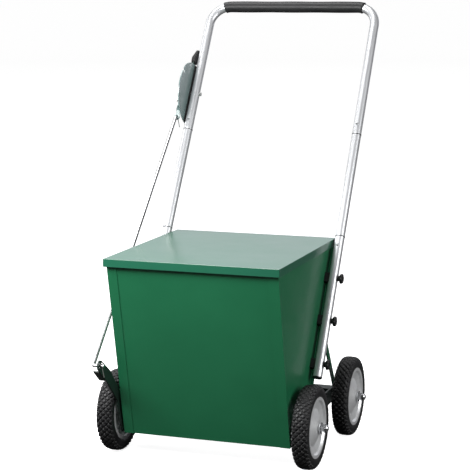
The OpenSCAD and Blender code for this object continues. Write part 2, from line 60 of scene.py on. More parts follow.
# %% [markdown]
# The camera stands in front of the machine and a little to its right, about as high as the
# handle's crossbar, and looks slightly downwards. Its long lens keeps the hopper's sides straight.
# It has no shift and no depth of field.

# %% Camera
CAMERA_PLACE = (1.2397, -3.6632, 1.1266)
CAMERA_TURN = 19.07
CAMERA_TILT = 81.05
LENS = 117.5
SENSOR_WIDTH = 36

scene = bpy.context.scene
camera_data = bpy.data.cameras.new("camera")
camera_data.lens = LENS
camera_data.sensor_width = SENSOR_WIDTH
camera = bpy.data.objects.new("camera", camera_data)
camera.location = CAMERA_PLACE
camera.rotation_euler = (math.radians(CAMERA_TILT), 0, math.radians(CAMERA_TURN))
scene.collection.objects.link(camera)
scene.camera = camera
scene.view_settings.view_transform = "Standard"
print("camera looks down by", 90 - CAMERA_TILT, "degrees")

# %% [markdown]
# Every new piece is a grid of points: two parameters run along its rows and columns, and numpy
# works out all the points at once. The four corners of all cells are the same grid of numbers,
# moved by one row or one column, so the faces are arrays too. Where a direction is a loop, its
# last row joins its first. The sign of the enclosed volume tells whether the faces look outwards.

# %% Faces of a grid
def grid_faces(rows, columns, loop_rows, loop_columns):
    """Four corners for each cell of a grid, joined round where a direction is a loop."""
    last_row = rows if loop_rows else rows - 1
    last_column = columns if loop_columns else columns - 1
    i, j = np.meshgrid(np.arange(last_row), np.arange(last_column), indexing="ij")
    i2, j2 = (i + 1) % rows, (j + 1) % columns
    return np.stack([i * columns + j, i2 * columns + j, i2 * columns + j2, i * columns + j2],
                    axis=-1).reshape(-1, 4)


def enclosed(points, faces):
    """Volume of a closed shell: each face's middle dotted with its area vector, summed, over 3."""
    a, b, c, d = (points[faces[:, k]] for k in range(4))
    area = 0.5 * np.cross(c - a, d - b)
    return float((area * (a + b + c + d) / 4).sum() / 3)


print("a ring of 5 by 4 cells has", len(grid_faces(5, 4, True, True)), "faces")

# %% From grids to a piece
def grid_piece(name, parts, node, material, body=None):
    """One mesh from several grids of points. Each part is (points, loop rows, loop columns)."""
    points, faces, start = [], [], 0
    for grid, loop_rows, loop_columns in parts:
        rows, columns = grid.shape[:2]
        flat = grid.reshape(-1, 3)
        quads = grid_faces(rows, columns, loop_rows, loop_columns)
        if enclosed(flat, quads) < 0:
            quads = quads[:, ::-1]
        points.append(flat)
        faces.append(quads + start)
        start += len(flat)
    points, faces = np.concatenate(points), np.concatenate(faces)
    mesh = bpy.data.meshes.new(name)
    mesh.vertices.add(len(points))
    mesh.vertices.foreach_set("co", points.astype(np.float32).ravel())
    mesh.loops.add(faces.size)
    mesh.loops.foreach_set("vertex_index", faces.astype(np.int32).ravel())
    mesh.polygons.add(len(faces))
    mesh.polygons.foreach_set("loop_start", np.arange(0, faces.size, 4, dtype=np.int32))
    mesh.polygons.foreach_set("use_smooth", np.ones(len(faces), dtype=bool))
    mesh.update(calc_edges=True)
    mesh.validate()
    mesh.materials.append(material)
    piece = bpy.data.objects.new(name, mesh)
    scene.collection.objects.link(piece)
    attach(piece, body or BODY_OF[node])
    if node:
        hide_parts(node)
    print(name, "has", len(points), "points and", len(faces), "faces")
    return piece


# %% [markdown]
# Outlines are given by a few corners. They are spaced evenly and then rounded by averaging, which
# takes the edge off each corner without a separate arc for it. Where one thing fades into another,
# such as a groove into the smooth rubber beside it, a soft step does it without a visible line.

# %% Outlines and soft steps
def soft_step(low, high, x):
    """0 below low, 1 above high, and the smooth curve 3t^2 - 2t^3 between them."""
    t = np.clip((x - low) / (high - low), 0, 1)
    return t * t * (3 - 2 * t)


def evenly(corners, count):
    """count points evenly spaced along the closed line through these corners."""
    line = np.vstack([corners, corners[:1]])
    along = np.concatenate([[0], np.cumsum(np.linalg.norm(np.diff(line, axis=0), axis=1))])
    at = np.linspace(0, along[-1], count, endpoint=False)
    return np.stack([np.interp(at, along, line[:, k]) for k in range(line.shape[1])], axis=1)


def rounded(points, times):
    """Rounds a closed line of points: each moves to a quarter, half, quarter mean, so many times."""
    for _ in range(times):
        points = (np.roll(points, 1, 0) + 2 * points + np.roll(points, -1, 0)) / 4
    return points


print("half way through a soft step the value is", soft_step(0, 1, 0.5))

# %% [markdown]
# Finishes. The real machine has powder-coated sheet steel, bright zinc on the tubes, rod and
# wheel discs, chrome cap nuts, moulded rubber and foam. Effects that several of them share are
# node groups: orange peel, drawn streaks, zinc spangle and rubber grain. Each group gives only
# values that change over the surface. The small helpers below each add a node, or a few that
# belong together, so that a material reads like a sentence.

# %% Nodes that give one value
def noise(tree, vector, scale, detail=2.0, roughness=0.5):
    """A noise texture on a vector; scale is a number or a socket."""
    node = tree.nodes.new("ShaderNodeTexNoise")
    node.inputs["Detail"].default_value = detail
    node.inputs["Roughness"].default_value = roughness
    tree.links.new(vector, node.inputs["Vector"])
    if isinstance(scale, (int, float)):
        node.inputs["Scale"].default_value = scale
    else:
        tree.links.new(scale, node.inputs["Scale"])
    return node.outputs["Fac"]


def stretch(tree, value, low, high, to_low=0.0, to_high=1.0):
    """Maps low..high of a value onto to_low..to_high, clamped."""
    node = tree.nodes.new("ShaderNodeMapRange")
    for label, number in zip(("From Min", "From Max", "To Min", "To Max"),
                             (low, high, to_low, to_high)):
        node.inputs[label].default_value = number
    tree.links.new(value, node.inputs["Value"])
    return node.outputs["Result"]


def arithmetic(tree, operation, *values):
    """One Math node; its inputs are numbers or sockets."""
    node = tree.nodes.new("ShaderNodeMath")
    node.operation = operation
    for k, value in enumerate(values):
        if isinstance(value, (int, float)):
            node.inputs[k].default_value = value
        else:
            tree.links.new(value, node.inputs[k])
    return node.outputs[0]


def vector_step(tree, operation, vector, amount=None):
    """One Vector Math node on a vector, with a second vector of plain numbers where it needs one."""
    node = tree.nodes.new("ShaderNodeVectorMath")
    node.operation = operation
    if amount is not None:
        node.inputs[1].default_value = amount
    tree.links.new(vector, node.inputs[0])
    return node


def placed(tree, vector, centre=(0, 0, 0), turn=(0, 0, 0), scale=(1, 1, 1)):
    """The pattern's place is taken to its centre, turned by a Mapping node, then stretched."""
    moved = vector_step(tree, "SUBTRACT", vector, centre)
    turned = tree.nodes.new("ShaderNodeMapping")
    turned.inputs["Rotation"].default_value = turn
    tree.links.new(moved.outputs[0], turned.inputs["Vector"])
    return vector_step(tree, "MULTIPLY", turned.outputs[0], scale).outputs[0]


print("helpers for nodes are ready")

# %% [markdown]
# A group is a small tree with named inputs and outputs. It is built once and placed in each
# material with that material's own numbers.

# %% An empty group
FLOAT, VECTOR = "NodeSocketFloat", "NodeSocketVector"


def shade_group(name, size, outputs):
    """A group that takes a Place, and a Size where one is given; returns the tree and its ends."""
    tree = bpy.data.node_groups.new(name, "ShaderNodeTree")
    tree.interface.new_socket(name="Place", in_out="INPUT", socket_type=VECTOR)
    if size is not None:
        socket = tree.interface.new_socket(name="Size", in_out="INPUT", socket_type=FLOAT)
        socket.default_value = size
    for label in outputs:
        tree.interface.new_socket(name=label, in_out="OUTPUT", socket_type=FLOAT)
    return tree, tree.nodes.new("NodeGroupInput"), tree.nodes.new("NodeGroupOutput")


print("a group's sockets are of the kinds", FLOAT, "and", VECTOR)

# %% [markdown]
# Orange peel: powder melts into low round hills 2 to 3 mm apart, with a finer bite on top. It is
# hardly deep, but it breaks the edge of every reflection, which is how painted steel is told
# from plastic. A slow noise changes the gloss a little over a hand's breadth. It is stretched so
# widely that it never reaches its ends, because a clamped value would leave patches with an edge.

# %% Orange peel
BITE_FINER, BITE_SHARE = 3.1, 0.25
FILM_SIZE, FILM_RANGE = 7.0, (0.12, 0.88)


def make_orange_peel():
    """Height = broad noise + a quarter of fine noise; Gloss = slow change of the film."""
    tree, given, out = shade_group("orange_peel", 420.0, ("Height", "Gloss"))
    place, size = given.outputs["Place"], given.outputs["Size"]
    hills = noise(tree, place, size, 1.0)
    bite = noise(tree, place, arithmetic(tree, "MULTIPLY", size, BITE_FINER), 2.0)
    height = arithmetic(tree, "ADD", hills, arithmetic(tree, "MULTIPLY", bite, BITE_SHARE))
    tree.links.new(height, out.inputs["Height"])
    film = noise(tree, place, FILM_SIZE, 4.0, 0.6)
    tree.links.new(stretch(tree, film, *FILM_RANGE), out.inputs["Gloss"])
    return tree


ORANGE_PEEL = make_orange_peel()
print("made the group", ORANGE_PEEL.name)

# %% [markdown]
# Streaks: a die leaves fine lines along a drawn tube or rod. The group is given a place that has
# already been squeezed along the steel, so that plain noise turns into lines.

# %% Drawn streaks
BAND_SIZE = 0.12


def make_streaks():
    """Lines = fine noise on the squeezed place; Bands = the same, eight times broader."""
    tree, given, out = shade_group("drawn_streaks", None, ("Lines", "Bands"))
    place = given.outputs["Place"]
    tree.links.new(noise(tree, place, 1.0, 3.0, 0.65), out.inputs["Lines"])
    tree.links.new(noise(tree, place, BAND_SIZE, 2.0), out.inputs["Bands"])
    return tree


STREAKS = make_streaks()
print("made the group", STREAKS.name)

# %% [markdown]
# Spangle: hot zinc freezes into crystals, each of which scatters light in its own way. Voronoi
# cells have just that shape, and the random colour of a cell serves as its brightness.

# %% Zinc spangle
CLOUD_SIZE, CLOUD_RANGE = 26.0, (0.3, 0.7)


def make_spangle():
    """Crystal = one number for each Voronoi cell; Cloud = slow noise over many cells."""
    tree, given, out = shade_group("zinc_spangle", 130.0, ("Crystal", "Cloud"))
    cells = tree.nodes.new("ShaderNodeTexVoronoi")
    tree.links.new(given.outputs["Place"], cells.inputs["Vector"])
    tree.links.new(given.outputs["Size"], cells.inputs["Scale"])
    split = tree.nodes.new("ShaderNodeSeparateColor")
    tree.links.new(cells.outputs["Color"], split.inputs[0])
    tree.links.new(split.outputs[0], out.inputs["Crystal"])
    cloud = noise(tree, given.outputs["Place"], CLOUD_SIZE, 3.0)
    tree.links.new(stretch(tree, cloud, *CLOUD_RANGE), out.inputs["Cloud"])
    return tree


SPANGLE = make_spangle()
print("made the group", SPANGLE.name)

# %% [markdown]
# Rubber grain: a moulded skin is finely rough, and wax that comes out of it blooms to grey here
# and there.

# %% Rubber grain
BLOOM_SIZE, BLOOM_RANGE = 30.0, (0.35, 0.75)


def make_rubber_grain():
    """Height = fine noise; Bloom = slow noise that says where the rubber is greyer."""
    tree, given, out = shade_group("rubber_grain", 900.0, ("Height", "Bloom"))
    place = given.outputs["Place"]
    tree.links.new(noise(tree, place, given.outputs["Size"], 3.0, 0.6), out.inputs["Height"])
    bloom = noise(tree, place, BLOOM_SIZE, 4.0, 0.6)
    tree.links.new(stretch(tree, bloom, *BLOOM_RANGE), out.inputs["Bloom"])
    return tree


GRAIN = make_rubber_grain()
print("made the group", GRAIN.name)

# %% [markdown]
# A material keeps its constant values on the Principled shader itself. What changes over the
# surface comes from a group and is linked in: to the base colour, the roughness or the normal.

# %% What every material starts from
COAT_ROUGHNESS = 0.24


def new_finish(name, colour, roughness, metallic=0.0, coat=0.0, specular=0.5):
    """A Principled material with its constants set, and the Object coordinates for patterns."""
    material = bpy.data.materials.new(name)
    material.use_nodes = True
    tree = material.node_tree
    shader = tree.nodes["Principled BSDF"]
    shader.inputs["Base Color"].default_value = (*colour, 1)
    shader.inputs["Roughness"].default_value = roughness
    shader.inputs["Metallic"].default_value = metallic
    shader.inputs["Coat Weight"].default_value = coat
    shader.inputs["Coat Roughness"].default_value = COAT_ROUGHNESS
    shader.inputs["Specular IOR Level"].default_value = specular
    place = tree.nodes.new("ShaderNodeTexCoord").outputs["Object"]
    return material, tree, shader, place


def use_group(tree, group, place, **values):
    """The group as a node in this material, with its numbers set."""
    node = tree.nodes.new("ShaderNodeGroup")
    node.node_tree = group
    tree.links.new(place, node.inputs["Place"])
    for label, value in values.items():
        node.inputs[label].default_value = value
    return node.outputs


def colour_between(tree, shader, value, first, second):
    """Base colour runs from first to second with a value."""
    mix = tree.nodes.new("ShaderNodeMix")
    mix.data_type = "RGBA"
    mix.inputs["A"].default_value = (*first, 1)
    mix.inputs["B"].default_value = (*second, 1)
    tree.links.new(value, mix.inputs["Factor"])
    tree.links.new(mix.outputs["Result"], shader.inputs["Base Color"])


def raise_by(tree, shader, height, depth):
    """A Bump node with a real depth in metres."""
    bump = tree.nodes.new("ShaderNodeBump")
    bump.inputs["Distance"].default_value = depth
    bump.inputs["Strength"].default_value = 1.0
    tree.links.new(height, bump.inputs["Height"])
    tree.links.new(bump.outputs[0], shader.inputs["Normal"])


def gloss_by(tree, shader, value, low, high):
    """Roughness runs from low to high with a value of 0 to 1."""
    tree.links.new(stretch(tree, value, 0.0, 1.0, low, high), shader.inputs["Roughness"])


def scaled(colour, share):
    """The colour made lighter or darker, and never above 1."""
    return tuple(min(1.0, channel * share) for channel in colour)


print("helpers for materials are ready")

# %% [markdown]
# Powder coat: a deep green on the hopper and braces, the same with a clearer top on the lid, a
# glossy grey-green on the lever's plate, and a blackish green for the folded bars and the gate
# arm. The plate's paint is the same green as the hopper; the grey in its colour is a painted
# sheen. The lid's pale sheen is not in its colour: it comes from the coat, which reflects the wide
# lamp behind the machine when it is seen at a low angle.

# %% Paints
PEEL_SIZE, PEEL_DEPTH = 420.0, 0.00006
PAINT_DARKER, PAINT_LIGHTER = 0.92, 1.10
HOPPER_GREEN = (0.010, 0.124, 0.052)
LID_GREEN = (0.012, 0.105, 0.058)
# The plate's paint is the hopper's green; the grey in this colour is painted sheen.
PLATE_GREEN_WITH_PAINTED_SHEEN = (0.17, 0.24, 0.235)
BRACE_GREEN = (0.004, 0.095, 0.040)
BLACKISH_GREEN = (0.006, 0.020, 0.014)


def powder_coat(name, colour, rough=(0.30, 0.42), coat=0.35):
    """Paint whose gloss and depth of colour both follow the film, over orange peel."""
    material, tree, shader, place = new_finish(name, colour, rough[0], coat=coat)
    peeled = use_group(tree, ORANGE_PEEL, place, Size=PEEL_SIZE)
    gloss_by(tree, shader, peeled["Gloss"], *rough)
    colour_between(tree, shader, peeled["Gloss"], scaled(colour, PAINT_DARKER),
                   scaled(colour, PAINT_LIGHTER))
    raise_by(tree, shader, peeled["Height"], PEEL_DEPTH)
    return material


PAINTS = {
    "hopper_paint": powder_coat("hopper_paint", HOPPER_GREEN, coat=0.1),
    "lid_paint": powder_coat("lid_paint", LID_GREEN, rough=(0.26, 0.34), coat=0.5),
    "plate_paint": powder_coat("plate_paint", PLATE_GREEN_WITH_PAINTED_SHEEN, rough=(0.16, 0.26), coat=0.8),
    "brace_paint": powder_coat("brace_paint", BRACE_GREEN),
    "dark_paint": powder_coat("dark_paint", BLACKISH_GREEN, rough=(0.5, 0.62), coat=0.05),
}
print("paints:", sorted(PAINTS))

# %% [markdown]
# Bright zinc on drawn steel: faint lines run along the piece, and broad soft bands change how much
# it scatters. On the handle the pattern is turned by the tubes' own lean, so that the lines follow
# the steel. Small parts have no direction and get the same grain every way.

# %% Zinc, steel and chrome
HANDLE_LEAN = math.radians(32)
LINE_DARKER, LINE_LIGHTER = 0.90, 1.06


def drawn_zinc(name, colour, rough, along=(700, 700, 9), turn=(0, 0, 0), metallic=0.85, depth=4e-6):
    """Zinc whose colour and height follow the lines, and whose roughness follows the bands."""
    material, tree, shader, place = new_finish(name, colour, rough[0], metallic=metallic)
    lined = use_group(tree, STREAKS, placed(tree, place, turn=turn, scale=along))
    gloss_by(tree, shader, lined["Bands"], *rough)
    colour_between(tree, shader, lined["Lines"], scaled(colour, LINE_DARKER),
                   scaled(colour, LINE_LIGHTER))
    raise_by(tree, shader, lined["Lines"], depth)
    return material


METALS = {
    "tube_metal": drawn_zinc("tube_metal", (0.66, 0.67, 0.69), (0.34, 0.44),
                             turn=(HANDLE_LEAN, 0, 0), metallic=0.7, depth=2e-7),
    "rod_steel": drawn_zinc("rod_steel", (0.62, 0.63, 0.64), (0.16, 0.26),
                            along=(900, 900, 30), metallic=1.0, depth=3e-7),
    "axle_steel": drawn_zinc("axle_steel", (0.55, 0.56, 0.57), (0.28, 0.4), along=(8, 900, 900)),
    "hinge_steel": drawn_zinc("hinge_steel", (0.50, 0.51, 0.52), (0.3, 0.42),
                              along=(20, 600, 600)),
    "fastener_steel": drawn_zinc("fastener_steel", (0.60, 0.60, 0.58), (0.26, 0.36),
                                 along=(300, 300, 300)),
    "button_steel": drawn_zinc("button_steel", (0.5, 0.51, 0.52), (0.22, 0.3),
                               along=(400, 400, 400)),
    "nut_chrome": drawn_zinc("nut_chrome", (0.80, 0.81, 0.83), (0.07, 0.13),
                             along=(260, 260, 260), metallic=1.0, depth=1.5e-6),
}
print("metals:", sorted(METALS))

# %% [markdown]
# The wheel discs are pressed from galvanised sheet. The press leaves fine rings round the axle,
# and the zinc has its crystals, so each disc gets a material of its own, centred on its wheel. A
# good part of its light is scattered, which is why it is less metallic than the tubes.

# %% Galvanised discs
RING_RATE, RING_SHARE = 3200.0, 0.3
CRYSTAL_SIZE, CRYSTAL_DEPTH = 150.0, 6e-6
ZINC_DULL, ZINC, ZINC_BRIGHT = (0.74, 0.75, 0.76), (0.80, 0.81, 0.82), (0.86, 0.87, 0.88)


def galvanised_disc(name, centre):
    """Height = crystals + a share of sin(k r), where r is the distance from the axle's line."""
    material, tree, shader, place = new_finish(name, ZINC, 0.38, metallic=0.5)
    around = placed(tree, place, centre=centre)
    across = vector_step(tree, "MULTIPLY", around, (0, 1, 1)).outputs[0]
    reach = vector_step(tree, "LENGTH", across).outputs["Value"]
    rings = arithmetic(tree, "SINE", arithmetic(tree, "MULTIPLY", reach, RING_RATE))
    crystals = use_group(tree, SPANGLE, around, Size=CRYSTAL_SIZE)
    height = arithmetic(tree, "ADD", arithmetic(tree, "MULTIPLY", rings, RING_SHARE),
                        crystals["Crystal"])
    shine = arithmetic(tree, "MULTIPLY", crystals["Crystal"], crystals["Cloud"])
    colour_between(tree, shader, shine, ZINC_DULL, ZINC_BRIGHT)
    gloss_by(tree, shader, crystals["Cloud"], 0.32, 0.46)
    raise_by(tree, shader, height, CRYSTAL_DEPTH)
    return material


print("rings on a disc are", round(2000 * math.pi / RING_RATE, 2), "mm apart")

# %% [markdown]
# Rubber and plastic. Tyre rubber is matt and blooms to grey here and there. The foam of the grip
# has a fine open skin. The knobs and caps are moulded plastic with an eroded texture. All of them
# are nearly black, so it is the roughness that tells them apart.

# %% Rubber, foam and plastic
def moulded(name, colour, pale, rough, size, depth):
    """Black skin that turns pale and rougher with the bloom, over a fine grain."""
    material, tree, shader, place = new_finish(name, colour, rough[0], specular=0.4)
    skin = use_group(tree, GRAIN, place, Size=size)
    colour_between(tree, shader, skin["Bloom"], colour, pale)
    gloss_by(tree, shader, skin["Bloom"], *rough)
    raise_by(tree, shader, skin["Height"], depth)
    return material


PLASTICS = {
    "tyre_rubber": moulded("tyre_rubber", (0.009, 0.009, 0.010), (0.020, 0.020, 0.021),
                           (0.42, 0.56), 700.0, 0.00008),
    "grip_foam": moulded("grip_foam", (0.012, 0.012, 0.013), (0.020, 0.020, 0.021),
                         (0.42, 0.55), 1500.0, 0.00010),
    "lever_rubber": moulded("lever_rubber", (0.004, 0.004, 0.004), (0.008, 0.008, 0.008),
                            (0.55, 0.7), 900.0, 0.00006),
    "black_plastic": moulded("black_plastic", (0.010, 0.010, 0.011), (0.017, 0.017, 0.018),
                             (0.4, 0.52), 1100.0, 0.00004),
    "knob_plastic": moulded("knob_plastic", (0.009, 0.009, 0.010), (0.015, 0.015, 0.016),
                            (0.32, 0.45), 1100.0, 0.00004),
}
print("rubber and plastic:", sorted(PLASTICS))

# %% [markdown]
# Each CAD node knows its material slot from the record, so the finishes are given out by slot.
# Only the discs differ from wheel to wheel.

# %% Give every CAD node its finish
FINISHES = {**PAINTS, **METALS, **PLASTICS}

for name, node in NODES.items():
    slot = SLOT_OF[name]
    if slot == "rim_zinc":
        low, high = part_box(name)
        finish = galvanised_disc("rim_zinc_" + name, tuple((low + high) / 2))
    else:
        finish = FINISHES[slot]
    node.data.materials.clear()
    node.data.materials.append(finish)
print("finished", len(NODES), "CAD nodes")

# %% [markdown]
# Tyres. The real tyre is solid rubber with a smooth side ring and a tread of small diamonds that
# wraps over both shoulders. A bump map would leave the outline round, so the tread is real: the
# section is carried round the axle and two families of slanting grooves are cut inwards wherever
# the section belongs to the tread. First comes the section itself, and the way out of it.

# %% Section of a tyre
SECTION_STEPS = 100
SECTION_ROUNDING = 2


def tyre_section(rim_radius, outer, half_width):
    """Closed line of (radius, place on the axle): bead, side ring, shoulder, crown and back."""
    side = [(rim_radius - 0.0072, half_width - 0.0052), (rim_radius + 0.0001, half_width - 0.0050),
            (rim_radius + 0.0004, half_width - 0.0026), (rim_radius + 0.0042, half_width - 0.0012),
            (rim_radius + 0.0110, half_width - 0.0006), (rim_radius + 0.0135, half_width - 0.0014),
            (outer - 0.0110, half_width - 0.0012), (outer - 0.0050, half_width - 0.0034),
            (outer - 0.0016, half_width - 0.0078), (outer - 0.0002, half_width * 0.35)]
    side = np.array(side)
    other = side[::-1] * (1, -1)
    return rounded(evenly(np.vstack([side, other]), SECTION_STEPS), SECTION_ROUNDING)


def outward(section):
    """Unit normal at each point: (dy, -dx) of the line there, turned away from its middle."""
    before, after = np.roll(section, 1, 0), np.roll(section, -1, 0)
    along = after - before
    normal = np.stack([along[:, 1], -along[:, 0]], axis=1)
    normal /= np.linalg.norm(normal, axis=1)[:, None]
    normal *= np.sign((normal * (section - section.mean(0))).sum(1))[:, None]
    return normal


print("a section has", len(tyre_section(0.06, 0.10, 0.022)), "points")

# %% [markdown]
# The grooves are laid out on the tread as if it were unrolled: the angle runs one way and the
# length of the section, counted from the crown, runs the other. Two families of straight lines
# cross there and leave the diamonds between them.

# %% Grooves of the tread
TREAD_LINES = 42
TREAD_STEPS = 15
TREAD_STARTS, TREAD_FULL = 0.0120, 0.0095
GROOVE_DEPTH = 0.0045
GROOVE_SHARE = 0.19
GROOVE_FLOOR, GROOVE_LIP = 0.6, 1.8


def groove_cut(angle, section, outer):
    """1 on a groove and 0 beside it; a groove lies where frac(N a / 2 pi +- w / pitch) is 1/2."""
    from_crown = np.linalg.norm(np.diff(section, axis=0, prepend=section[:1]), axis=1).cumsum()
    crown = np.argmin(np.abs(section[:, 1]) - section[:, 0])
    from_crown = from_crown - from_crown[crown]
    pitch = 2 * np.pi * outer / TREAD_LINES
    turns, across = TREAD_LINES * angle[:, None] / (2 * np.pi), from_crown[None, :] / pitch
    cut = np.zeros((len(angle), len(section)))
    for way in (1, -1):
        off_line = np.abs(((turns + way * across) % 1) - 0.5) * 2
        beside = soft_step(GROOVE_SHARE * GROOVE_FLOOR, GROOVE_SHARE * GROOVE_LIP, off_line)
        cut = np.maximum(cut, 1 - beside)
    in_tread = soft_step(outer - TREAD_STARTS, outer - TREAD_FULL, section[:, 0])
    return cut * in_tread[None]


print("grooves repeat", TREAD_LINES, "times round a tyre and are", 1000 * GROOVE_DEPTH, "mm deep")

# %% [markdown]
# Each tyre takes its size from its own CAD node and from the disc that it sits on.

# %% Tyre
def tyre(node, rim):
    """Point = axle centre + (place, r cos a, r sin a), with the section moved in by the grooves."""
    low, high = (np.array(c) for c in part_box(node))
    rim_low, rim_high = (np.array(c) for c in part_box(rim))
    centre = (low + high) / 2
    outer = (high[2] - low[2]) / 2
    half_width = (high[0] - low[0]) / 2
    rim_radius = (rim_high[2] - rim_low[2]) / 2
    section = tyre_section(rim_radius, outer, half_width)
    normal = outward(section)
    angle = np.linspace(0, 2 * np.pi, TREAD_LINES * TREAD_STEPS, endpoint=False)
    cut = groove_cut(angle, section, outer)
    sunk = section[None] - normal[None] * cut[..., None] * GROOVE_DEPTH
    radius, place = sunk[..., 0], sunk[..., 1]
    grid = np.stack([centre[0] + place, centre[1] + radius * np.cos(angle)[:, None],
                     centre[2] + radius * np.sin(angle)[:, None]], axis=-1)
    return grid_piece(node + "_tread", [(grid, True, True)], node, FINISHES["tyre_rubber"])


for corner in ("front_left", "front_right", "rear_left", "rear_right"):
    tyre("tyre_" + corner, "rim_" + corner)

# %% [markdown]
# The handle leans back, so its pieces are placed by three directions of its own: to the right,
# up along the tubes, and out of the handle's plane towards the front. The crossbar is a straight
# run with a bend at each end.

# %% Line of the crossbar
HALF_SPACING, BEND = 0.235, 0.055
GRIP_RADIUS = 0.0155
GRIP_ARC = math.radians(21)
RIGHT = np.array([1, 0, 0])
ALONG_HANDLE = np.array([0, math.sin(HANDLE_LEAN), math.cos(HANDLE_LEAN)])
OUT_OF_HANDLE = np.array([0, -math.cos(HANDLE_LEAN), math.sin(HANDLE_LEAN)])


def bar_middle():
    """Middle of the crossbar: it is the highest and rearmost run, one grip radius inside the box."""
    _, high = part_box("grip")
    return np.array([0, high[1] - GRIP_RADIUS, high[2] - GRIP_RADIUS])


def bar_line(count):
    """Arc, straight, arc: each point's x, its height up the handle, the turn and the length."""
    straight = 2 * (HALF_SPACING - BEND)
    arc = BEND * GRIP_ARC
    along = np.linspace(0, straight + 2 * arc, count)
    turn = np.where(along < arc, (arc - along) / BEND,
                    np.where(along > arc + straight, -(along - arc - straight) / BEND, 0))
    x = np.where(along < arc, -straight / 2 - BEND * np.sin(turn),
                 np.where(along > arc + straight, straight / 2 - BEND * np.sin(turn),
                          -straight / 2 + along - arc))
    up = BEND * (np.cos(turn) - 1)
    return x, up, turn, along


print("the middle of the crossbar is at", bar_middle())

# %% [markdown]
# The foam grip is a sleeve pushed over the crossbar and part of the way round both bends. Its ends
# are rounded, and it is a hair thicker at three places along its length, where the foam relaxes.
# It is a round section carried along the bar's line, outside first and back along the bore.

# %% Foam grip
GRIP_STEPS, GRIP_ROUND = 150, 56
GRIP_BORE = 0.0121
GRIP_SKIN = 0.0001
END_LENGTH, END_DROP = 0.0035, 0.0028
SWELLINGS, SWELLING, SWELLS_FROM = 3, 0.00025, 0.004


def grip_outside(along):
    """Outer radius: R - d (1 - sqrt(1 - t^2)) near an end, less s (1 + cos 6 pi u) elsewhere."""
    end = np.minimum(along, along[-1] - along)
    near = 1 - np.clip(end / END_LENGTH, 0, 1)
    full = GRIP_RADIUS - GRIP_SKIN - END_DROP * (1 - np.sqrt(1 - near ** 2))
    wave = 1 + np.cos(along / along[-1] * 2 * SWELLINGS * np.pi)
    return full - SWELLING * wave * (end > SWELLS_FROM)


def foam_grip():
    """Point = bar's line + radius (cos b x side + sin b x out), for an angle b round the bar."""
    x, up, turn, along = bar_line(GRIP_STEPS)
    steps = np.arange(GRIP_STEPS)
    line = np.concatenate([steps, steps[::-1]])
    radius = np.concatenate([grip_outside(along), np.full(GRIP_STEPS, GRIP_BORE)])
    angle = np.linspace(0, 2 * np.pi, GRIP_ROUND, endpoint=False)[None, :, None]
    centre = bar_middle() + x[line, None] * RIGHT + up[line, None] * ALONG_HANDLE
    side = np.cos(turn[line])[:, None] * ALONG_HANDLE - np.sin(turn[line])[:, None] * RIGHT
    round_bar = np.cos(angle) * side[:, None] + np.sin(angle) * OUT_OF_HANDLE
    grid = centre[:, None] + radius[:, None, None] * round_bar
    return grid_piece("grip_sleeve", [(grid, True, True)], "grip", FINISHES["grip_foam"])


foam_grip()

# %% [markdown]
# Where one tube slips over the next, its end is rolled in and leaves a narrow gap with a bright
# lip. Each joint gets two thin rings: a small profile turned about the tube's own leaning axis.
# The black ring is painted shade: it stands for the shadow in the gap as a dark line.

# %% Rings at the tube joints
LOWER_TUBE, MIDDLE_TUBE, BAR_ALONG = 0.375, 0.290, 1.052
TUBE_RADIUS = 0.012
RING_SEAT, RING_DEPTH, RING_FLAT, RING_ROUND = 0.00015, 0.0004, 0.8, 48
SHADE_RING_HALF, SHADE_RING_PROUD = 0.0009, 0.00012
LIP_HALF, LIP_PROUD, LIP_BEYOND = 0.0013, 0.00045, 0.0024


def joint_ring(name, side, along, half_length, proud, finish):
    """Point = tube axis + radius (cos a, sin a) in the plane square to the tube."""
    middle = bar_middle() + ALONG_HANDLE * (along - BAR_ALONG) + RIGHT * side * HALF_SPACING
    flat = half_length * RING_FLAT
    profile = np.array([(-half_length, 0.0), (-flat, proud), (flat, proud), (half_length, 0.0),
                        (half_length, -RING_DEPTH), (-half_length, -RING_DEPTH)])
    angle = np.linspace(0, 2 * np.pi, RING_ROUND, endpoint=False)[:, None, None]
    radius = TUBE_RADIUS + RING_SEAT + profile[None, :, 1:]
    grid = (middle + ALONG_HANDLE * profile[None, :, :1]
            + radius * (np.cos(angle) * RIGHT + np.sin(angle) * OUT_OF_HANDLE))
    return grid_piece(name, [(grid, True, True)], None, FINISHES[finish], body="frame")


for label, along in (("lower", LOWER_TUBE), ("upper", LOWER_TUBE + MIDDLE_TUBE)):
    for side, word in ((-1, "left"), (1, "right")):
        place = f"{label}_{word}"
        # The black ring is painted shade for the shadowed gap between the tube ends.
        joint_ring("joint_painted_shade_" + place, side, along, SHADE_RING_HALF, SHADE_RING_PROUD, "black_plastic")
        joint_ring("joint_lip_" + place, side, along + LIP_BEYOND, LIP_HALF, LIP_PROUD, "tube_metal")

# %% [markdown]
# The six hand knobs are moulded with six lobes and a short neck. One profile is turned about the
# bolt, and its radius swells and shrinks with the angle wherever the profile belongs to the head.
# It starts at the bottom of the bolt's hole and ends in the middle of the head's face.

# %% Knobs
KNOB_STEPS = 96
LOBE_DEPTH, LOBE_POWER = 0.14, 0.7
HOLE, HOLE_DEPTH = 0.00306, 0.0103
NECK, EDGE = 0.0070, 0.0114


def knob_profile(length):
    """Rows of (radius, place along the bolt, how much of the lobes shows there)."""
    return np.array([
        (0.0, HOLE_DEPTH, 0), (HOLE, HOLE_DEPTH, 0), (HOLE, 0.0001, 0), (0.0052, 0.0, 0),
        (NECK, 0.0006, 0), (NECK, 0.0035, 0), (NECK + 0.0004, 0.0045, 0.2),
        (EDGE - 0.0016, 0.0051, 0.9), (EDGE, 0.0064, 1), (EDGE, length - 0.0030, 1),
        (EDGE - 0.0008, length - 0.0010, 1), (EDGE - 0.0028, length - 0.0001, 0.8),
        (0.0060, length - 0.0002, 0.3), (0.0044, length - 0.0011, 0), (0.0, length - 0.0013, 0)])


